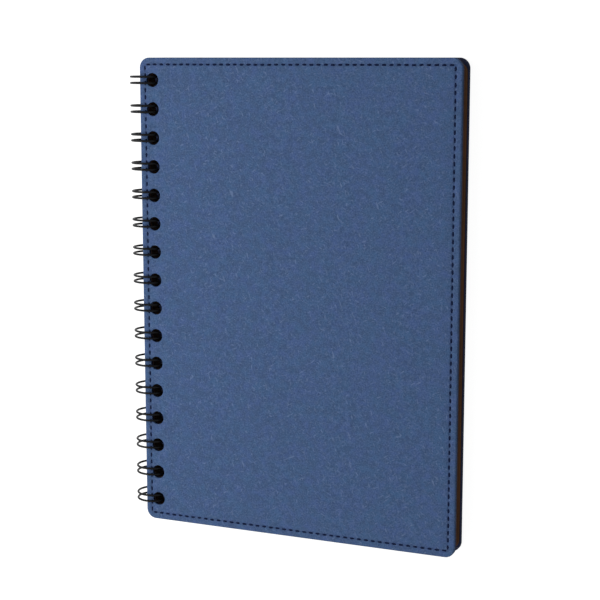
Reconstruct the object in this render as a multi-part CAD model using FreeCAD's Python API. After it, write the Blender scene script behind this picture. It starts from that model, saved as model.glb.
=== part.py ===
"""A5 notebook with sewn covers and a double-loop wire binding, lying closed on its back cover.

Everything is drawn in a book frame first: the origin is on the axis of the wire rings, X runs to the
fore-edge, Y to the head and Z out of the front cover. Each body is then turned about that axis into
the place where it comes to rest, and moved so that the origin is under the middle of the notebook.
"""
import FreeCAD
import Part
import math
import os

from FreeCAD import Placement, Rotation, Vector

# Covers, millimetres
cover_width = 148.0
cover_height = 210.0
cover_corner_radius = 4.5
facing_thickness = 0.9
board_thickness = 0.8
lining_thickness = 0.6
facing_edge_rounding = 0.6

# Page block
page_block_thickness = 6.2
page_fore_edge_inset = 0.5
page_head_and_foot_inset = 2.2
page_corner_radius = 3.5

# Wire binding and its row of punched holes
hole_pitch = 12.7
least_end_margin = 9.0
hole_to_spine_edge = 3.25
hole_centre_inside_rings = 2.0
wire_diameter = 0.96
ring_rise_above_cover = 1.85
twin_wire_spacing = 2.75
root_bend_radius = 1.1

# Sewing
stitch_pitch = 3.2
stitch_length = 2.1
stitch_width = 0.75
stitch_height = 0.27
stitch_crown_length = 1.5
stitch_crown_width = 0.4
stitch_inset = 3.0
spine_stitch_inset = 2.8
channel_width = 1.0
channel_depth = 0.3

# Clearances
seam_clearance = 0.2
resting_gap = 0.1
wire_to_hole_clearance = 0.14
tip_clearance = 0.3
opened_cover_to_pages = 0.2

# Worked out from the sizes above
cover_thickness = facing_thickness + board_thickness + lining_thickness
wire_radius = wire_diameter / 2
seam_gap = wire_diameter + 2 * seam_clearance
stack_half = (2 * cover_thickness + page_block_thickness + resting_gap + seam_gap) / 2
lining_level = stack_half - cover_thickness
page_top = lining_level - resting_gap
page_bottom = page_top - page_block_thickness
ring_outer_radius = stack_half + ring_rise_above_cover
ring_radius = ring_outer_radius - wire_radius

# The holes take both wires of a loop where the rings reach furthest from the spine
hole_x = ring_radius - hole_centre_inside_rings
hole_radius = (
    math.hypot(hole_centre_inside_rings, twin_wire_spacing / 2) + wire_radius + wire_to_hole_clearance
)
spine_x = hole_x - hole_radius - hole_to_spine_edge
fore_edge_x = spine_x + cover_width
hole_count = 1 + math.floor((cover_height - 2 * least_end_margin) / hole_pitch)
loop_levels = [(i - (hole_count - 1) / 2) * hole_pitch for i in range(hole_count)]

# A cover that is opened flat brings its spine edge to the far side of the rings' axis, short of the pages
page_spine_x = abs(spine_x) + opened_cover_to_pages


def tilt_to_drop(depth, reach, drop):
    """Angle, in degrees, at which a corner that lies reach along and depth down sinks to drop."""
    return math.degrees(math.asin(drop / math.hypot(depth, reach)) - math.atan2(depth, reach))


# The wire rings and the back cover's fore-edge carry the notebook on the table. The page block lies on
# the wire's seam at the spine and on the back cover at the fore-edge.
back_tilt = tilt_to_drop(
    stack_half - facing_edge_rounding,
    fore_edge_x - facing_edge_rounding,
    ring_outer_radius - facing_edge_rounding,
)
block_tilt = back_tilt + tilt_to_drop(
    -page_bottom,
    fore_edge_x - page_fore_edge_inset,
    lining_level - resting_gap,
)


def rounded_plate(x_low, x_high, y_half, z_low, z_high, radius):
    """A flat plate whose four upright edges are rounded."""
    plate = Part.makeBox(x_high - x_low, 2 * y_half, z_high - z_low, Vector(x_low, -y_half, z_low))
    upright = [edge for edge in plate.Edges if abs(edge.tangentAt(edge.FirstParameter).z) > 0.99]
    return plate.makeFillet(radius, upright)


def punched(plate):
    """The plate with the row of binding holes cut through it."""
    depth = 4 * stack_half
    drills = [
        Part.makeCylinder(hole_radius, depth, Vector(hole_x, y, -depth / 2))
        for y in loop_levels
    ]
    return plate.cut(Part.makeCompound(drills))


def cover_layer(z_low, z_high):
    """One layer of the front cover, before it is punched and sewn."""
    return rounded_plate(spine_x, fore_edge_x, cover_height / 2, z_low, z_high, cover_corner_radius)


def seam_rectangle():
    """Low X, high X and half height of the rectangle that the sewing follows."""
    return spine_x + spine_stitch_inset, fore_edge_x - stitch_inset, cover_height / 2 - stitch_inset


def sewing_channel(z_low, z_high):
    """The shallow channel that the thread is pulled into, as a solid to cut away."""
    x_low, x_high, y_half = seam_rectangle()
    half = channel_width / 2
    outer = Part.makeBox(
        x_high - x_low + 2 * half,
        2 * (y_half + half),
        z_high - z_low,
        Vector(x_low - half, -y_half - half, z_low),
    )
    inner = Part.makeBox(
        x_high - x_low - 2 * half,
        2 * (y_half - half),
        z_high - z_low,
        Vector(x_low + half, -y_half + half, z_low),
    )
    return outer.cut(inner)


def facing():
    """The outer sheet: rounded along its outer edge, with a channel for the thread."""
    sheet = cover_layer(stack_half - facing_thickness, stack_half)
    rim = [edge for edge in sheet.Edges if edge.BoundBox.ZMin > stack_half - 0.01]
    sheet = sheet.makeFillet(facing_edge_rounding, rim)
    return punched(sheet.cut(sewing_channel(stack_half - channel_depth, stack_half + 1)))


def board():
    """The stiff sheet in the middle of the cover."""
    return punched(cover_layer(lining_level + lining_thickness, stack_half - facing_thickness))


def lining():
    """The inner sheet, with a channel for the thread."""
    sheet = cover_layer(lining_level, lining_level + lining_thickness)
    return punched(sheet.cut(sewing_channel(lining_level - 1, lining_level + channel_depth)))


def stitch():
    """One visible stitch along X: a low hipped bar that stands on Z = 0."""
    end = (stitch_length - stitch_crown_length) / 2
    side = (stitch_width - stitch_crown_width) / 2
    bar = Part.makeWedge(
        -stitch_length / 2, 0, -stitch_width / 2, -stitch_width / 2 + side, -stitch_length / 2 + end,
        stitch_length / 2, stitch_height, stitch_width / 2, stitch_width / 2 - side,
        stitch_length / 2 - end,
    )
    bar.rotate(Vector(0, 0, 0), Vector(1, 0, 0), 90)
    return bar


def stitch_places():
    """Place and heading of every stitch round the seam's rectangle."""
    x_low, x_high, y_half = seam_rectangle()
    corners = [
        Vector(x_low, -y_half, 0),
        Vector(x_high, -y_half, 0),
        Vector(x_high, y_half, 0),
        Vector(x_low, y_half, 0),
    ]
    places = []
    for start, end in zip(corners, corners[1:] + corners[:1]):
        side = end - start
        count = round(side.Length / stitch_pitch)
        heading = math.degrees(math.atan2(side.y, side.x))
        places += [(start + side * ((i + 0.5) / count), heading) for i in range(count)]
    return places


def stitching(level, crown_down):
    """All the stitches on one face of the cover, standing on the channel's floor."""
    turn = Rotation(Vector(1, 0, 0), 180) if crown_down else Rotation()
    pieces = []
    for place, heading in stitch_places():
        piece = stitch()
        piece.Placement = Placement(
            place + Vector(0, 0, level),
            Rotation(Vector(0, 0, 1), heading) * turn,
        ) * piece.Placement
        pieces.append(piece)
    return Part.makeCompound(pieces)


def page_block():
    """The closed pages, as one solid."""
    block = rounded_plate(
        page_spine_x,
        fore_edge_x - page_fore_edge_inset,
        cover_height / 2 - page_head_and_foot_inset,
        page_bottom,
        page_top,
        page_corner_radius,
    )
    return punched(block)


def on_ring(angle, along, y):
    """A point on the rings' centre line at the angle, moved along the tangent there."""
    return Vector(
        ring_radius * math.cos(angle) - along * math.sin(angle),
        y,
        ring_radius * math.sin(angle) + along * math.cos(angle),
    )


def arc(first, middle, last):
    """The edge of a circle through three points."""
    return Part.Arc(first, middle, last).toShape()


def bend_edge(angle, y_strand, side):
    """The quarter turn from the seam's straight run, on the given side, into a strand."""
    bend = root_bend_radius
    corner = bend * math.sqrt(0.5)
    return arc(
        on_ring(angle, -bend, y_strand + side * bend),
        on_ring(angle, -corner, y_strand + side * (bend - corner)),
        on_ring(angle, 0, y_strand),
    )


def loop_edges(y, first_angle, last_angle):
    """One double loop: bend, strand, tip, strand and bend, from the low Y side to the high one."""
    half = twin_wire_spacing / 2
    middle_angle = (first_angle + last_angle) / 2
    strands = [
        arc(
            on_ring(first_angle, 0, y + side * half),
            on_ring(middle_angle, 0, y + side * half),
            on_ring(last_angle, 0, y + side * half),
        )
        for side in (-1, 1)
    ]
    tip = arc(
        on_ring(last_angle, 0, y - half),
        on_ring(last_angle, half, y),
        on_ring(last_angle, 0, y + half),
    )
    return [
        bend_edge(first_angle, y - half, -1),
        strands[0],
        tip,
        strands[1],
        bend_edge(first_angle, y + half, 1),
    ]


def binding_wire():
    """The round binding wire: a row of equal double loops that meet halfway along the seam's straight runs.

    The two wires of a loop leave the seam by quarter turns, run round the ring together and join in
    a round tip, which stops just short of the seam.
    """
    half = twin_wire_spacing / 2
    bend = root_bend_radius
    seam_level = lining_level - seam_gap / 2
    root_angle = -math.asin(seam_level / math.hypot(ring_radius, bend))
    first_angle = root_angle + math.atan2(bend, ring_radius)
    between_centres = bend + half + wire_diameter + tip_clearance
    tip_setback = math.sqrt(between_centres ** 2 - (half + bend) ** 2) - bend
    last_angle = 2 * math.pi + root_angle - tip_setback / ring_radius

    def on_seam(y):
        return on_ring(first_angle, -bend, y)

    path = Part.Wire(
        [Part.makeLine(on_seam(-hole_pitch / 2), on_seam(-half - bend))]
        + loop_edges(0, first_angle, last_angle)
        + [Part.makeLine(on_seam(half + bend), on_seam(hole_pitch / 2))]
    )
    section = Part.Wire(Part.makeCircle(wire_radius, on_seam(-hole_pitch / 2), Vector(0, 1, 0)))
    loop = path.makePipeShell([section], True, False)
    share = loop.Volume / (math.pi * wire_radius ** 2 * path.Length)
    print("wire loop: length %.1f mm, volume against section times length %.5f" % (path.Length, share))
    return Part.makeCompound([loop.translated(Vector(0, y, 0)) for y in loop_levels])


def mirrored(shape):
    """The same piece on the back cover."""
    return shape.mirror(Vector(0, 0, 0), Vector(0, 0, 1))


def to_rest(shape, tilt):
    """The piece turned about the rings' axis and set down on the table."""
    front_corner_x = fore_edge_x - facing_edge_rounding
    front_corner_z = stack_half - facing_edge_rounding
    turned = math.radians(block_tilt)
    x_high = (
        front_corner_x * math.cos(turned) + front_corner_z * math.sin(turned) + facing_edge_rounding
    )
    moved = shape.copy()
    moved.rotate(Vector(0, 0, 0), Vector(0, 1, 0), tilt)
    moved.translate(Vector((ring_outer_radius - x_high) / 2, 0, ring_outer_radius))
    return moved


cover = {
    "facing": facing(),
    "board": board(),
    "lining": lining(),
    "outer_stitching": stitching(stack_half - channel_depth, False),
    "inner_stitching": stitching(lining_level + channel_depth, True),
}

nodes = {"front_cover_" + name: to_rest(shape, block_tilt) for name, shape in cover.items()}
nodes.update({"back_cover_" + name: to_rest(mirrored(shape), back_tilt) for name, shape in cover.items()})
nodes["page_block"] = to_rest(page_block(), block_tilt)
nodes["binding_wire"] = to_rest(binding_wire(), block_tilt)

os.makedirs("parts", exist_ok=True)
for name, shape in nodes.items():
    shape.exportStep("parts/" + name + ".step")
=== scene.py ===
import math

import bpy
import numpy as np
from mathutils import Matrix, Vector


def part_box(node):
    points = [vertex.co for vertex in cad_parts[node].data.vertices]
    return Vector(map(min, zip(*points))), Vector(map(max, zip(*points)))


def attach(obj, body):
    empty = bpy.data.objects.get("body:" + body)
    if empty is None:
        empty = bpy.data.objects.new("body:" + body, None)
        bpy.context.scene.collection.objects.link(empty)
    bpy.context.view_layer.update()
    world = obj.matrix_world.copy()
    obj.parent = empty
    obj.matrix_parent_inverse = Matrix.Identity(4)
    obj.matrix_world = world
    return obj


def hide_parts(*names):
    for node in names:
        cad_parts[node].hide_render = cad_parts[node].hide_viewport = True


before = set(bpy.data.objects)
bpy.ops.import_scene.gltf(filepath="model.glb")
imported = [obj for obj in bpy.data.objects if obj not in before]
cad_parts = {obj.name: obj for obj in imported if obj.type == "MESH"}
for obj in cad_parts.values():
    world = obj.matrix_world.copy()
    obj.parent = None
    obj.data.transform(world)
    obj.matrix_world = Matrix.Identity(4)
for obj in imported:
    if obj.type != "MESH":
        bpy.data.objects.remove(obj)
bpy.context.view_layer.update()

# All sizes are in millimetres, and in the book's own frame: the origin is on the axis of the wire rings,
# X runs to the fore-edge, Y to the head and Z out of the front cover
MILLIMETRE = 0.001

# Covers
cover_width = 148.0
cover_height = 210.0
cover_corner_radius = 4.5
facing_thickness = 0.9
board_thickness = 0.8
lining_thickness = 0.6
facing_edge_rounding = 0.6
lining_edge_rounding = 0.15

# Page block
page_block_thickness = 6.2
page_fore_edge_inset = 0.5
page_head_and_foot_inset = 2.2
page_corner_radius = 3.5
page_edge_band = 0.3
leaf_count = 28
leaf_step = 0.07
leaf_groove = 0.05
leaf_wave = 0.03
leaf_wave_reach = 19.0
leaf_wave_slant = 1.7
leaf_most_out = 0.12
leaf_most_in = 0.25

# Wire binding and its row of punched holes
hole_count = 16
hole_pitch = 12.7
hole_to_spine_edge = 3.25
hole_centre_inside_rings = 2.0
wire_radius = 0.48
ring_outer_radius = 7.98
wire_spacing = 2.75
root_bend_radius = 1.1
wire_to_hole_clearance = 0.14
tip_clearance = 0.3
opened_cover_to_pages = 0.2
punched_rim_rounding = 0.12

# Sewing
stitch_pitch = 3.2
stitch_length = 2.15
stitch_width = 0.94
stitch_thickness = 0.36
stitch_inset = 3.0
spine_stitch_inset = 2.8
seam_depth = 0.2
seam_reach = 0.55
shown_stitch_rise = 0.07
hidden_stitch_rise = -0.03
stitch_end_sink = 0.16
stitch_turn_spread = math.radians(1.6)
stitch_place_spread = 0.035
stitch_length_spread = 0.03

# Clearances
seam_clearance = 0.2
resting_gap = 0.1

# Grids of the punched sheets: half the side of the square of cells round each hole, half the width of
# the band of small cells along a seam, and the cells of each stretch between them
hole_square = 4.0
seam_band = 0.9
round_cells = 4
margin_cells = 4
web_cells = 3
field_cells = 30

# Points along and round the stitches and the wire
stitch_rings, stitch_sides = 5, 8
run_points, bend_points, strand_points, tip_points = 3, 7, 57, 13
wire_sides = 12

# Seeds of the small random differences
leaf_seed, outer_stitch_seed, inner_stitch_seed = 7, 11, 12

# Light: the world's strength for rays that light the book, the floor's tone, and its glow in view
world_light = 0.32
floor_tone = 0.3
floor_glow = 0.91
floor_reach = 3.0

# Camera: place and aim in metres on the row's own axes, sensor and lens in millimetres
camera_place = (0.26427, 0.105, 0.5861)
camera_aim = (0.00661, 0.00184, 0.01262)
camera_sensor, camera_lens = 36.0, 88.67

# Worked out from the sizes above
cover_thickness = facing_thickness + board_thickness + lining_thickness
seam_gap = 2 * wire_radius + 2 * seam_clearance
stack_half = (2 * cover_thickness + page_block_thickness + resting_gap + seam_gap) / 2
lining_level = stack_half - cover_thickness
page_top = lining_level - resting_gap
page_bottom = page_top - page_block_thickness
ring_radius = ring_outer_radius - wire_radius
half_spacing = wire_spacing / 2
hole_x = ring_radius - hole_centre_inside_rings
hole_radius = math.hypot(hole_centre_inside_rings, half_spacing) + wire_radius + wire_to_hole_clearance
spine_x = hole_x - hole_radius - hole_to_spine_edge
fore_edge_x = spine_x + cover_width
page_spine_x = abs(spine_x) + opened_cover_to_pages
page_fore_edge_x = fore_edge_x - page_fore_edge_inset
page_half_height = cover_height / 2 - page_head_and_foot_inset
loop_levels = (np.arange(hole_count) - (hole_count - 1) / 2) * hole_pitch

# The rings' axis on the table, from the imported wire
axis_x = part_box("binding_wire")[0][0] / MILLIMETRE + ring_outer_radius
axis_z = ring_outer_radius


def tilt_to_drop(depth, reach, drop):
    """Angle at which a corner that lies reach along and depth down sinks to drop."""
    return math.asin(drop / math.hypot(depth, reach)) - math.atan2(depth, reach)


back_tilt = tilt_to_drop(
    stack_half - facing_edge_rounding,
    fore_edge_x - facing_edge_rounding,
    ring_outer_radius - facing_edge_rounding,
)
block_tilt = back_tilt + tilt_to_drop(-page_bottom, page_fore_edge_x, page_top)


def to_row(points, tilt):
    """Book-frame millimetres turned by tilt about the rings' axis and set on the table, in metres."""
    x, y, z = points[:, 0], points[:, 1], points[:, 2]
    cos, sin = math.cos(tilt), math.sin(tilt)
    return np.stack([x * cos + z * sin + axis_x, y, z * cos - x * sin + axis_z], axis=1) * MILLIMETRE


def add_piece(name, points, faces, body, node, finish, sharp_angle=40):
    """A mesh of row-frame points and faces that rides on the body and stands for the CAD node."""
    mesh = bpy.data.meshes.new(name)
    mesh.from_pydata(points.tolist(), [], [face for group in faces for face in group.tolist()])
    mesh.polygons.foreach_set("use_smooth", np.ones(len(mesh.polygons), dtype=bool))
    mesh.set_sharp_from_angle(angle=math.radians(sharp_angle))
    mesh.materials.append(finish)
    mesh.update()
    piece = bpy.data.objects.new(name, mesh)
    bpy.context.scene.collection.objects.link(piece)
    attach(piece, body)
    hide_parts(node)
    return piece


def grid_lines(start, *spans):
    """Coordinates from start through the stops, with the given number of even cells before each stop."""
    lines = [np.array([start])]
    for stop, cells in spans:
        lines.append(np.linspace(lines[-1][-1], stop, cells + 1)[1:])
    return np.concatenate(lines)


def nearest_level(y):
    """Level of the loop, and of the hole, that lies nearest to each Y."""
    row = np.clip(np.round(y / hole_pitch + (hole_count - 1) / 2), 0, hole_count - 1)
    return loop_levels[row.astype(int)]


def punched(x, y, cut_share):
    """Plan points with the squares of cells round the holes drawn into circles.

    A point on the square ring of share r of its hole's square lies at (1 - t) times the point of the
    hole's circle at the same place round the ring plus t times the point of the outer square, where t
    runs from 0 at the cut share to 1 at the outer square. Also gives each point's share r.
    """
    level = nearest_level(y)
    p, q = (x - hole_x) / hole_square, (y - level) / hole_square
    ring = np.maximum(np.maximum(abs(p), abs(q)), 1e-9)
    across = abs(p) >= abs(q)
    longer = np.where(across, p, q)
    turn = math.pi / 4 * np.where(across, q, p) / np.where(longer == 0, 1, longer)
    lead = np.sign(longer)
    circle_x = lead * np.where(across, np.cos(turn), np.sin(turn)) * hole_radius
    circle_y = lead * np.where(across, np.sin(turn), np.cos(turn)) * hole_radius
    t = np.clip((ring - cut_share) / (1 - cut_share), 0, 1)
    near = ring < 1
    new_x = np.where(near, hole_x + (1 - t) * circle_x + t * p / ring * hole_square, x)
    new_y = np.where(near, level + (1 - t) * circle_y + t * q / ring * hole_square, y)
    return new_x, new_y, ring


def rounded_corners(x, y, x_low, x_high, y_half, radius):
    """Plan points with the four corner squares drawn into quarter discs.

    In a corner square with p and q from 0 at its inner sides to 1 at the edges, a point goes to
    p times the root of 1 - q squared / 2, and q times the root of 1 - p squared / 2.
    """
    middle = (x_low + x_high) / 2
    side_x, side_y = np.sign(x - middle), np.sign(y)
    centre_x = middle + side_x * ((x_high - x_low) / 2 - radius)
    centre_y = side_y * (y_half - radius)
    p = (x - centre_x) * side_x / radius
    q = (y - centre_y) * side_y / radius
    corner = (p > 0) & (q > 0)
    round_x = centre_x + side_x * radius * p * np.sqrt(np.maximum(1 - q ** 2 / 2, 0))
    round_y = centre_y + side_y * radius * q * np.sqrt(np.maximum(1 - p ** 2 / 2, 0))
    return np.where(corner, round_x, x), np.where(corner, round_y, y)


def inside_distance(x, y, x_low, x_high, y_half, radius):
    """Distance of plan points in from the outline of a rectangle with rounded corners.

    It is the corner radius, less how far a point lies outside the rectangle that is smaller by that
    radius all round, or plus how far it lies inside it.
    """
    from_x = abs(x - (x_low + x_high) / 2) - (x_high - x_low) / 2 + radius
    from_y = abs(y) - y_half + radius
    outside = np.hypot(np.maximum(from_x, 0), np.maximum(from_y, 0))
    return radius - outside - np.minimum(np.maximum(from_x, from_y), 0)


def seam_distance(x, y):
    """Distance of plan points from the rectangle that the sewing follows."""
    return abs(inside_distance(x, y, *seam_rectangle(), 0))


def seam_rectangle():
    """Low X, high X and half height of the rectangle that the sewing follows."""
    return spine_x + spine_stitch_inset, fore_edge_x - stitch_inset, cover_height / 2 - stitch_inset


def rounded_drop(distance, rounding):
    """How far a surface has dropped where it is this far inside an edge with a round of that radius."""
    short = np.clip(rounding - distance, 0, rounding)
    return rounding - np.sqrt(rounding ** 2 - short ** 2)


def sheet_plan(x_low, x_high, y_half, radius, rounding, hole_cells, cut_cells, seam_cells):
    """Plan of a punched sheet as a grid: X, Y, distance from outline and holes, and the cells that stay.

    The grid's lines gather at the edges, at the seams and in the squares round the holes. At an edge
    they lie at the rounding times 1 less the cosine of even angles from 0 to a right angle.
    """
    edge = rounding * (1 - np.cos(np.linspace(0, math.pi / 2, round_cells + 1)))
    seam_low, seam_high = stitch_inset - seam_band, stitch_inset + seam_band
    along = grid_lines(
        x_low + edge[-1],
        (hole_x - hole_square, margin_cells),
        (hole_x + hole_square, hole_cells),
        (x_high - seam_high, field_cells),
        (x_high - seam_low, seam_cells),
        (x_high - edge[-1], margin_cells),
    )
    spans = [(-y_half + seam_low, margin_cells), (-y_half + seam_high, seam_cells)]
    for level in loop_levels:
        spans += [(level - hole_square, web_cells), (level + hole_square, hole_cells)]
    spans += [
        (y_half - seam_high, web_cells),
        (y_half - seam_low, seam_cells),
        (y_half - edge[-1], margin_cells),
    ]
    up = grid_lines(-y_half + edge[-1], *spans)
    along = np.concatenate([x_low + edge[:-1], along, x_high - edge[-2::-1]])
    up = np.concatenate([-y_half + edge[:-1], up, y_half - edge[-2::-1]])

    x, y = np.meshgrid(along, up, indexing="ij")
    cut_share = cut_cells / hole_cells
    middle_x = (x[:-1, :-1] + x[1:, 1:]) / 2
    middle_y = (y[:-1, :-1] + y[1:, 1:]) / 2
    keep = punched(middle_x, middle_y, cut_share)[2] > cut_share
    x, y, _ = punched(x, y, cut_share)
    x, y = rounded_corners(x, y, x_low, x_high, y_half, radius)
    from_outline = inside_distance(x, y, x_low, x_high, y_half, radius)
    from_hole = np.hypot(x - hole_x, y - nearest_level(y)) - hole_radius
    return x, y, from_outline, from_hole, keep


def closed_sheet(x, y, keep, upper, lower, wall=None):
    """Points and faces of a sheet: a grid for its upper side, one for its lower side, and walls between.

    The walls stand on the edges that only one cell of the grid uses. Rows of wall points between
    the two sides come from wall(x, y), an array of rows by rim points by three, or are left out.
    Also gives the numbers of the grid's points that are used.
    """
    size = x.size
    number = np.arange(size).reshape(x.shape)
    corners = [number[:-1, :-1], number[1:, :-1], number[1:, 1:], number[:-1, 1:]]
    quads = np.stack(corners, axis=-1)[keep]
    start, end = quads.ravel(), np.roll(quads, -1, axis=1).ravel()
    single = ~np.isin(start * size + end, end * size + start)
    start, end = start[single], end[single]

    used = np.unique(quads)
    place = np.zeros(size, dtype=int)
    place[used] = np.arange(len(used))
    rim = np.unique(start)
    rank = np.zeros(size, dtype=int)
    rank[rim] = np.arange(len(rim))
    flat_x, flat_y = x.ravel(), y.ravel()
    sides = [np.stack([flat_x[used], flat_y[used], z.ravel()[used]], axis=1) for z in (upper, lower)]
    rows = wall(flat_x[rim], flat_y[rim]) if wall else np.zeros((0, len(rim), 3))
    points = np.concatenate(sides + [rows.reshape(-1, 3)])

    between = [2 * len(used) + k * len(rim) + rank for k in range(len(rows))]
    levels = [place, *between, place + len(used)]
    faces = [place[quads], place[quads[:, ::-1]] + len(used)]
    for above, below in zip(levels, levels[1:]):
        faces.append(np.stack([above[end], above[start], below[start], below[end]], axis=1))
    return points, faces, used


def on_cover(points, faces, side):
    """Points and faces on the front cover, or their mirror image on the back cover, in the row frame."""
    if side == "front":
        return to_row(points, block_tilt), faces
    return to_row(points * [1, 1, -1], back_tilt), [group[:, ::-1] for group in faces]


def add_seam_shade_weight(piece, values):
    """Stores how near each point is to a seam, for the painted shade that the material lays along the
    seam's dip.
    """
    attribute = piece.data.attributes.new("seam", "FLOAT", "POINT")
    attribute.data.foreach_set("value", values.astype(np.float32))


def cover_sheet(name, body, side, inner, finish):
    """The facing, or the lining, of a cover: a punched sheet that dips at its seams.

    Its shown face drops by a quarter round at the outline, by a small one at the holes, and by a
    bell curve of the distance from the seam.
    """
    rounding = lining_edge_rounding if inner else facing_edge_rounding
    x, y, from_outline, from_hole, keep = sheet_plan(
        spine_x, fore_edge_x, cover_height / 2, cover_corner_radius, rounding,
        hole_cells=16, cut_cells=10, seam_cells=8,
    )
    near_seam = np.exp(-(seam_distance(x, y) / seam_reach) ** 2)
    drop = (
        rounded_drop(from_outline, rounding)
        + rounded_drop(from_hole, punched_rim_rounding)
        + seam_depth * near_seam
    )
    if inner:
        shown, hidden = lining_level + drop, np.full(x.shape, lining_level + lining_thickness)
        points, faces, used = closed_sheet(x, y, keep, hidden, shown)
    else:
        shown, hidden = stack_half - drop, np.full(x.shape, stack_half - facing_thickness)
        points, faces, used = closed_sheet(x, y, keep, shown, hidden)
    points, faces = on_cover(points, faces, side)
    piece = add_piece(name, points, faces, body, name.replace("_sheet", ""), finish, 50)
    add_seam_shade_weight(piece, np.tile(near_seam.ravel()[used], 2))


def tube_faces(rings, around):
    """Faces of a closed tube: quads between its rings of points, and a fan to the pole at each end.

    The poles are numbered after the rings' points, the first ring's pole before the last one's.
    """
    k, j = np.meshgrid(np.arange(rings - 1), np.arange(around), indexing="ij")
    next_j = (j + 1) % around
    near, far = k * around, (k + 1) * around
    quads = np.stack([near + j, near + next_j, far + next_j, far + j], axis=-1).reshape(-1, 4)
    j, next_j = j[0], next_j[0]
    pole, last = np.full(around, rings * around), (rings - 1) * around
    low = np.stack([pole, next_j, j], axis=1)
    high = np.stack([pole + 1, last + j, last + next_j], axis=1)
    return [quads, low, high]


def stitch_form():
    """Points and faces of one stitch along X, a closed spindle that bows up between its buried ends.

    For t from -1 to 1 along it, the section is an ellipse whose half width and half thickness are
    their full values times the root of 1 - t to the fourth, and the centre sinks as t squared.
    """
    t = np.sin(np.linspace(-1, 1, stitch_rings + 2)[1:-1] * math.pi / 2)[:, None]
    angle = np.arange(stitch_sides)[None, :] * 2 * math.pi / stitch_sides
    swell = np.sqrt(1 - t ** 4)
    body = np.stack([
        t * stitch_length / 2 * np.ones((1, stitch_sides)),
        swell * stitch_width / 2 * np.cos(angle),
        swell * stitch_thickness / 2 * np.sin(angle) - stitch_end_sink * t ** 2,
    ], axis=-1).reshape(-1, 3)
    half = stitch_length / 2
    ends = np.array([[-half, 0, -stitch_end_sink], [half, 0, -stitch_end_sink]])
    return np.concatenate([body, ends]), tube_faces(stitch_rings, stitch_sides)


def stitch_places():
    """Middle and heading of every stitch round the seam's rectangle, as arrays."""
    x_low, x_high, y_half = seam_rectangle()
    corners = np.array([[x_low, -y_half], [x_high, -y_half], [x_high, y_half], [x_low, y_half]])
    middles, headings = [], []
    for start, side in zip(corners, np.roll(corners, -1, axis=0) - corners):
        count = round(math.hypot(*side) / stitch_pitch)
        share = (np.arange(count) + 0.5) / count
        middles.append(start + side * share[:, None])
        headings.append(np.full(count, math.atan2(side[1], side[0])))
    return np.concatenate(middles), np.concatenate(headings)


def stitching(name, body, side, inner, rise, finish, seed):
    """All the stitches on one face of a cover, each laid a little unevenly."""
    form, form_faces = stitch_form()
    middles, headings = stitch_places()
    count = len(middles)
    chance = np.random.default_rng(seed)
    headings = headings + chance.normal(0, stitch_turn_spread, count)
    middles = middles + chance.normal(0, stitch_place_spread, (count, 2))
    stretch = 1 + chance.normal(0, stitch_length_spread, count)
    cos, sin = np.cos(headings)[:, None], np.sin(headings)[:, None]
    along, across = form[None, :, 0] * stretch[:, None], form[None, :, 1]
    points = np.stack([
        middles[:, :1] + along * cos - across * sin,
        middles[:, 1:] + along * sin + across * cos,
        np.repeat(form[None, :, 2], count, axis=0),
    ], axis=-1).reshape(-1, 3)
    shift = (np.arange(count) * len(form))[:, None, None]
    faces = [(group[None] + shift).reshape(-1, group.shape[1]) for group in form_faces]
    top = rise - stitch_thickness / 2
    if inner:
        points[:, 2] = lining_level - top - points[:, 2]
        faces = [group[:, ::-1] for group in faces]
    else:
        points[:, 2] += stack_half + top
    points, faces = on_cover(points, faces, side)
    node = name.replace("_thread", "_stitching")
    add_piece(name, points, faces, body, node, finish, 180)


def leaf_edges(x, y):
    """Rows of wall points down the page block: each leaf's edge stands a little further out or in.

    A row's offset out of the outline is its leaf's random step plus a slow wave along the outline,
    less the groove at every other row. Points on the holes' walls keep their place.
    """
    chance = np.random.default_rng(leaf_seed)
    rows = 2 * leaf_count - 1
    middle, x_half = (page_spine_x + page_fore_edge_x) / 2, (page_fore_edge_x - page_spine_x) / 2
    from_x = np.maximum(abs(x - middle) - x_half + page_corner_radius, 0)
    from_y = np.maximum(abs(y) - page_half_height + page_corner_radius, 0)
    length = np.hypot(from_x, from_y)
    share = np.where(length > page_corner_radius - 0.01, 1 / np.maximum(length, 1e-9), 0)
    out_x, out_y = np.sign(x - middle) * from_x * share, np.sign(y) * from_y * share
    leaf = np.arange(rows) // 2
    step = chance.normal(0, leaf_step, leaf_count)[leaf][:, None]
    phase = chance.uniform(0, 2 * math.pi, leaf_count)[leaf][:, None]
    wave = leaf_wave * np.sin((x + leaf_wave_slant * y)[None, :] / leaf_wave_reach + phase)
    groove = leaf_groove * (np.arange(rows) % 2)[:, None]
    offset = np.clip(step + wave - groove, -leaf_most_in, leaf_most_out)
    level = page_top - page_block_thickness * (np.arange(1, rows + 1) / (rows + 1))[:, None]
    return np.stack([x + offset * out_x, y + offset * out_y, level + 0 * offset], axis=-1)


def page_block(finish):
    """The closed pages: a thick punched sheet whose outer wall shows the edges of its leaves.

    Its upper and lower sides are flat. The band only gathers the grid's lines at its outline.
    """
    x, y, _, _, keep = sheet_plan(
        page_spine_x, page_fore_edge_x, page_half_height, page_corner_radius, page_edge_band,
        hole_cells=12, cut_cells=8, seam_cells=2,
    )
    level = np.ones(x.shape)
    points, faces, _ = closed_sheet(x, y, keep, level * page_top, level * page_bottom, leaf_edges)
    points = to_row(points, block_tilt)
    add_piece("page_leaves", points, faces, "block", "page_block", finish, 35)


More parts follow.
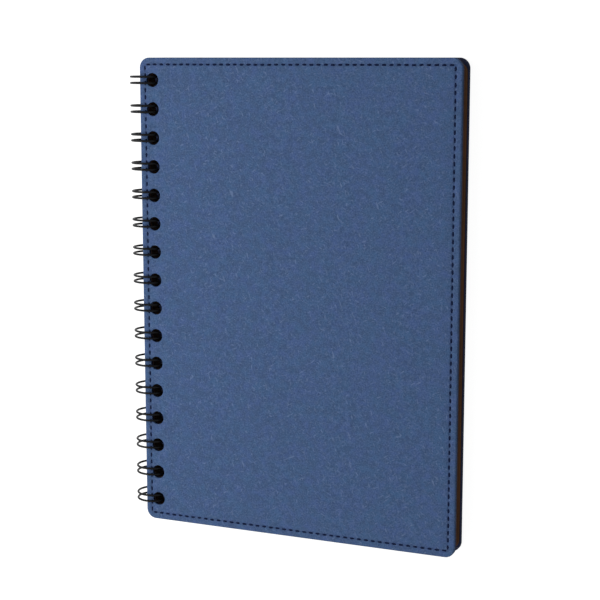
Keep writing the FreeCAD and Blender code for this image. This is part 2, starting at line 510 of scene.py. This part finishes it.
def loop_path():
    """One double loop of the wire: angle round the ring, offset along its tangent, Y and heading.

    The heading has two parts, one round the ring and one along Y. The loop is a straight run, a
    quarter bend, a strand round the ring, a half-round tip, and the same back to the next run.
    """
    bend, half = root_bend_radius, half_spacing
    seam_level = lining_level - seam_gap / 2
    root_angle = -math.asin(seam_level / math.hypot(ring_radius, bend))
    first = root_angle + math.atan2(bend, ring_radius)
    between_centres = bend + half + 2 * wire_radius + tip_clearance
    short = math.sqrt(between_centres ** 2 - (half + bend) ** 2) - bend
    last = 2 * math.pi + root_angle - short / ring_radius

    def part(angle, offset, y, round_ring, along_y):
        return np.stack(np.broadcast_arrays(angle, offset, y, round_ring, along_y))[:, :-1]

    run = np.linspace(0, 1, run_points) * (hole_pitch / 2 - half - bend)
    quarter = np.linspace(0, math.pi / 2, bend_points)
    sin, cos = np.sin(quarter), np.cos(quarter)
    strand = np.linspace(first, last, strand_points)
    tip = np.linspace(0, math.pi, tip_points)
    return np.concatenate([
        part(first, -bend, -hole_pitch / 2 + run, 0, 1),
        part(first, -bend * cos, bend * sin - half - bend, sin, cos),
        part(strand, 0, -half, 1, 0),
        part(last, half * np.sin(tip), -half * np.cos(tip), np.cos(tip), np.sin(tip)),
        part(strand[::-1], 0, half, -1, 0),
        part(first, -bend * sin, half + bend - bend * cos, -cos, sin),
        part(first, -bend, half + bend + run, 0, 1),
    ], axis=1)


def binding_wire(finish):
    """The round wire: a circle carried along the row of loops.

    A point of the path is the ring's point at its angle plus the offset along the tangent there, and
    the circle lies in the plane of the ring's radius and of the radius crossed with the heading.
    """
    loop, along = loop_path(), np.array([[0], [0], [1], [0], [0]])
    path = np.concatenate([loop + level * along for level in loop_levels], axis=1)
    end = path[:, :1] + hole_count * hole_pitch * along
    angle, offset, y, round_ring, along_y = np.concatenate([path, end], axis=1)
    cos, sin, zero = np.cos(angle), np.sin(angle), 0 * angle
    radius = np.stack([cos, zero, sin], axis=1)
    tangent = np.stack([-sin, zero, cos], axis=1)
    centre = ring_radius * radius + offset[:, None] * tangent + y[:, None] * np.array([0, 1, 0])
    heading = round_ring[:, None] * tangent + along_y[:, None] * np.array([0, 1, 0])
    side = np.cross(heading, radius)
    turn = np.arange(wire_sides) * 2 * math.pi / wire_sides
    rim = np.cos(turn)[None, :, None] * radius[:, None] + np.sin(turn)[None, :, None] * side[:, None]
    points = (centre[:, None] + wire_radius * rim).reshape(-1, 3)
    points = to_row(np.concatenate([points, centre[[0, -1]]]), block_tilt)
    faces = tube_faces(len(angle), wire_sides)
    add_piece("wire_loops", points, faces, "block", "binding_wire", finish, 50)


def tone(red, green, blue):
    """A colour of the screen, in parts of 255, as the shader's linear colour."""
    screen = np.array([red, green, blue]) / 255
    linear = np.where(screen <= 0.04045, screen / 12.92, ((screen + 0.055) / 1.055) ** 2.4)
    return (*linear.tolist(), 1.0)


class Finish:
    """A material with its node tree, and short calls that add nodes to it."""

    def __init__(self, name, **constants):
        self.material = bpy.data.materials.new(name)
        self.material.use_nodes = True
        self.tree = self.material.node_tree
        self.shader = self.tree.nodes["Principled BSDF"]
        for socket, value in constants.items():
            self.shader.inputs[socket.replace("_", " ")].default_value = value
        self.place = self.tree.nodes.new("ShaderNodeTexCoord").outputs["Object"]

    def put(self, kind, inputs, output=0, **settings):
        """Adds a node, sets or links its inputs and returns one of its outputs."""
        node = self.tree.nodes.new("ShaderNode" + kind)
        for setting, value in settings.items():
            setattr(node, setting, value)
        for socket, value in inputs.items():
            if isinstance(value, bpy.types.NodeSocket):
                self.tree.links.new(value, node.inputs[socket])
            else:
                node.inputs[socket].default_value = value
        return node.outputs[output]

    def noise(self, size, detail=2.0, roughness=0.5, place=None):
        """Noise whose patches are about size millimetres across."""
        return self.put("TexNoise", {
            "Vector": place or self.place,
            "Scale": 1 / (size * MILLIMETRE),
            "Detail": detail,
            "Roughness": roughness,
        })

    def stretched(self, turn, scale):
        """Object coordinates turned and then stretched by the three lengths, for fibres."""
        inputs = {"Vector": self.place, "Rotation": turn, "Scale": scale}
        return self.put("Mapping", inputs, vector_type="TEXTURE")

    def between(self, value, low, high, to_low=0.0, to_high=1.0):
        """The value's stretch from low to high, drawn out smoothly to another range."""
        return self.put(
            "MapRange",
            {0: value, 1: low, 2: high, 3: to_low, 4: to_high},
            interpolation_type="SMOOTHSTEP",
        )

    def math(self, operation, first, second):
        """Arithmetic on two values."""
        return self.put("Math", {0: first, 1: second}, operation=operation)

    def mix(self, share, first, second):
        """Two colours mixed by a share."""
        return self.put("Mix", {0: share, 6: first, 7: second}, output=2, data_type="RGBA")

    def colour(self, socket):
        """The socket colours the surface."""
        self.tree.links.new(socket, self.shader.inputs["Base Color"])

    def bump(self, height, depth, strength):
        """The height, in parts of depth millimetres, roughens the surface."""
        inputs = {"Height": height, "Distance": depth * MILLIMETRE, "Strength": strength}
        self.tree.links.new(self.put("Bump", inputs), self.shader.inputs["Normal"])

    def gloss(self, socket):
        """The socket sets the roughness."""
        self.tree.links.new(socket, self.shader.inputs["Roughness"])

    def seam_painted_shade(self, colour, share, seam_shade_colour):
        """Painted shade along the seam's dip: the colour, drawn by up to a share to the shade colour
        where the seam attribute is 1.
        """
        seam = self.put("Attribute", {}, output="Fac", attribute_name="seam")
        return self.mix(self.math("MULTIPLY", seam, share), colour, seam_shade_colour)


def flecked_leather():
    """Matt blue bonded leather: a soft drift of blues, fine mottling, pale fibres and dark flecks, with
    painted shade along the seams.
    """
    finish = Finish("flecked_blue_bonded_leather", Specular_IOR_Level=0.2)
    drift = finish.between(finish.noise(7, 2), 0.35, 0.65)
    colour = finish.mix(drift, tone(62, 93, 134), tone(67, 91, 139))
    cloud = finish.between(finish.noise(3, 4, 0.6), 0.32, 0.68)
    colour = finish.mix(finish.math("MULTIPLY", cloud, 0.8), colour, tone(59, 82, 117))
    grain = finish.noise(0.62, 3, 0.65)
    colour = finish.mix(finish.between(grain, 0.45, 0.72, 0, 0.56), colour, tone(91, 111, 150))
    colour = finish.mix(finish.between(grain, 0.5, 0.26, 0, 0.6), colour, tone(46, 62, 100))
    for turn, size in ((0.5, 1.0), (1.9, 1.15), (2.7, 0.9)):
        fibres = finish.noise(size, 1, 0.4, finish.stretched((0, 0, turn), (2.6, 0.7, 1)))
        colour = finish.mix(finish.between(fibres, 0.66, 0.8, 0, 0.5), colour, tone(112, 132, 168))
    flecks = finish.put("TexVoronoi", {"Vector": finish.place, "Scale": 420.0})
    colour = finish.mix(finish.between(flecks, 0.16, 0.06, 0, 0.5), colour, tone(38, 48, 84))
    # Painted shade darkens the leather in the dip along the seams.
    finish.colour(finish.seam_painted_shade(colour, 0.35, tone(40, 54, 92)))
    pores = finish.noise(0.3, 2, 0.6)
    finish.bump(finish.math("ADD", pores, grain), 0.05, 0.7)
    finish.gloss(finish.between(grain, 0.3, 0.7, 0.84, 0.7))
    return finish.material


def dark_lining():
    """Dark blue lining with a fine cloth-like grain, and painted shade along the seams."""
    finish = Finish("dark_blue_lining", Roughness=0.85, Specular_IOR_Level=0.15)
    drift = finish.between(finish.noise(7, 2), 0.35, 0.65)
    colour = finish.mix(drift, tone(44, 51, 76), tone(50, 54, 82))
    grain = finish.noise(0.5, 3, 0.6)
    colour = finish.mix(finish.between(grain, 0.5, 0.75, 0, 0.35), colour, tone(70, 78, 108))
    # Painted shade darkens the lining in the dip along the seams.
    finish.colour(finish.seam_painted_shade(colour, 0.3, tone(24, 30, 52)))
    finish.bump(grain, 0.04, 0.6)
    return finish.material


def dyed_board():
    """Dark dyed board, fibrous at its cut edges."""
    finish = Finish("dark_dyed_board", Roughness=0.9, Specular_IOR_Level=0.1)
    fibres = finish.noise(0.5, 3, 0.6, finish.stretched((0, 0, 0), (2.5, 2.5, 0.4)))
    colour = finish.mix(finish.between(fibres, 0.3, 0.7), tone(24, 28, 38), tone(40, 45, 58))
    finish.colour(colour)
    finish.bump(fibres, 0.05, 0.7)
    return finish.material


def navy_thread():
    """Navy sewing thread, mottled and roughened by its ply."""
    finish = Finish("navy_sewing_thread", Roughness=0.75, Specular_IOR_Level=0.08)
    ply = finish.noise(0.22, 1, 0.5)
    colour = finish.mix(finish.between(ply, 0.35, 0.65), tone(8, 17, 42), tone(17, 31, 66))
    finish.colour(colour)
    finish.bump(ply, 0.05, 0.8)
    return finish.material


def brown_paper():
    """Uncoated brown paper with faint fibres on the leaves; its cut edges are painted darker as shade,
    with reddish and olive bands of real tone and thin streaks of painted shade between the leaves.

    The streaks' grid is turned by the block's tilt, so that they run along the leaves.
    """
    finish = Finish("brown_page_paper", Roughness=0.92, Specular_IOR_Level=0.15)
    streaks = finish.stretched((0, block_tilt, 0), (30, 30, 1))
    sheets = finish.noise(0.16, 2, 0.6, streaks)
    cloud = finish.between(finish.noise(9, 3, 0.6), 0.3, 0.7)
    colour = finish.mix(cloud, tone(110, 75, 50), tone(116, 80, 54))
    fibres = finish.noise(0.7, 2, 0.5, finish.stretched((0, 0, 0.8), (3, 0.6, 1)))
    colour = finish.mix(finish.between(fibres, 0.6, 0.8, 0, 0.3), colour, tone(140, 104, 74))
    # Where the surface stands upright, on the leaves' cut edges and the holes' walls, the brown below is
    # darker: painted shade over the reddish and olive bands of the paper's own tone.
    normal = finish.put("NewGeometry", {}, output="True Normal")
    upright = finish.put("SeparateXYZ", {0: normal}, output=2)
    edge = finish.between(finish.math("ABSOLUTE", upright, 0.0), 0.9, 0.4)
    bands = finish.between(finish.noise(1.4, 1, 0.5, streaks), 0.42, 0.58)
    cut = finish.mix(bands, tone(77, 44, 24), tone(59, 48, 34))
    # Thin dark streaks along the leaves are painted shade in the gaps between them.
    cut = finish.mix(finish.between(sheets, 0.62, 0.4, 0.1, 0.8), cut, tone(35, 24, 17))
    colour = finish.mix(edge, colour, cut)
    finish.colour(colour)
    finish.bump(finish.noise(0.4, 2, 0.6), 0.02, 0.5)
    return finish.material


def black_wire():
    """Black coated steel wire, satin, with faint drawing marks."""
    finish = Finish("black_coated_wire", Specular_IOR_Level=0.11)
    marks = finish.noise(0.9, 3, 0.6)
    colour = finish.mix(finish.between(marks, 0.3, 0.7), tone(5, 6, 8), tone(9, 11, 15))
    finish.colour(colour)
    finish.gloss(finish.between(marks, 0.3, 0.7, 0.34, 0.46))
    finish.bump(finish.noise(0.35, 2), 0.008, 0.5)
    return finish.material


def dress():
    """Adds every piece and gives the boards their finish."""
    leather, lining = flecked_leather(), dark_lining()
    board, thread = dyed_board(), navy_thread()
    for side in ("front", "back"):
        body = side + "_cover"
        cover_sheet(body + "_facing_sheet", body, side, False, leather)
        cover_sheet(body + "_lining_sheet", body, side, True, lining)
        rise = shown_stitch_rise if side == "front" else hidden_stitch_rise
        stitching(body + "_outer_thread", body, side, False, rise, thread, outer_stitch_seed)
        rise = hidden_stitch_rise
        stitching(body + "_inner_thread", body, side, True, rise, thread, inner_stitch_seed)
        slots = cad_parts[body + "_board"].data.materials
        slots.clear()
        slots.append(board)
    page_block(brown_paper())
    binding_wire(black_wire())


def area_light(name, place, size, power):
    """A soft square lamp at a place, in metres, turned to the row's origin."""
    lamp = bpy.data.lights.new(name, "AREA")
    lamp.shape, lamp.size, lamp.energy = "SQUARE", size, power
    holder = bpy.data.objects.new(name, lamp)
    bpy.context.scene.collection.objects.link(holder)
    holder.location = place
    holder.rotation_euler = (-Vector(place)).to_track_quat("-Z", "Y").to_euler()


def background_share(tree):
    """1 for rays from the camera, off gloss or through glass, which see the plain white background."""
    path = tree.nodes.new("ShaderNodeLightPath")
    total = path.outputs["Is Camera Ray"]
    for ray in ("Is Glossy Ray", "Is Transmission Ray"):
        add = tree.nodes.new("ShaderNodeMath")
        add.operation, add.use_clamp = "ADD", True
        tree.links.new(total, add.inputs[0])
        tree.links.new(path.outputs[ray], add.inputs[1])
        total = add.outputs[0]
    return total


def studio():
    """A plain white floor and background, with even soft light."""
    world = bpy.data.worlds.new("white_room")
    bpy.context.scene.world = world
    world.use_nodes = True
    tree = world.node_tree
    shade = tree.nodes["Background"]
    strength = tree.nodes.new("ShaderNodeMapRange")
    tree.links.new(background_share(tree), strength.inputs["Value"])
    strength.inputs["To Min"].default_value = world_light
    strength.inputs["To Max"].default_value = 1.0
    shade.inputs["Color"].default_value = (1, 1, 1, 1)
    tree.links.new(strength.outputs[0], shade.inputs["Strength"])

    floor_mesh = bpy.data.meshes.new("floor")
    reach = floor_reach
    corners = [(-reach, -reach, 0), (reach, -reach, 0), (reach, reach, 0), (-reach, reach, 0)]
    floor_mesh.from_pydata(corners, [], [(0, 1, 2, 3)])
    floor = bpy.data.objects.new("floor", floor_mesh)
    bpy.context.scene.collection.objects.link(floor)
    material = bpy.data.materials.new("white_floor")
    material.use_nodes = True
    tree = material.node_tree
    shader = tree.nodes["Principled BSDF"]
    shader.inputs["Base Color"].default_value = (floor_tone, floor_tone, floor_tone, 1)
    shader.inputs["Roughness"].default_value = 1.0
    shader.inputs["Specular IOR Level"].default_value = 0.0
    shader.inputs["Emission Color"].default_value = (1, 1, 1, 1)
    strength = tree.nodes.new("ShaderNodeMath")
    strength.operation = "MULTIPLY"
    tree.links.new(background_share(tree), strength.inputs[0])
    strength.inputs[1].default_value = floor_glow
    tree.links.new(strength.outputs[0], shader.inputs["Emission Strength"])
    floor_mesh.materials.append(material)

    area_light("left_lamp", (-0.47, 0.05, 0.46), size=0.5, power=3.3)
    area_light("front_lamp", (-0.4, -1.1, 1.5), size=1.4, power=5.0)
    bpy.context.scene.view_settings.view_transform = "Standard"


def camera():
    """The photograph's view: turned toward the fore-edge, level with the head and upright along Y."""
    place = Vector(camera_place)
    back = (place - Vector(camera_aim)).normalized()
    right = Vector((0, 1, 0)).cross(back).normalized()
    up = back.cross(right)
    lens = bpy.data.cameras.new("camera")
    lens.sensor_width, lens.lens = camera_sensor, camera_lens
    holder = bpy.data.objects.new("camera", lens)
    bpy.context.scene.collection.objects.link(holder)
    turn = Matrix((right, up, back)).transposed().to_4x4()
    holder.matrix_world = Matrix.Translation(place) @ turn
    bpy.context.scene.camera = holder


dress()
studio()
camera()
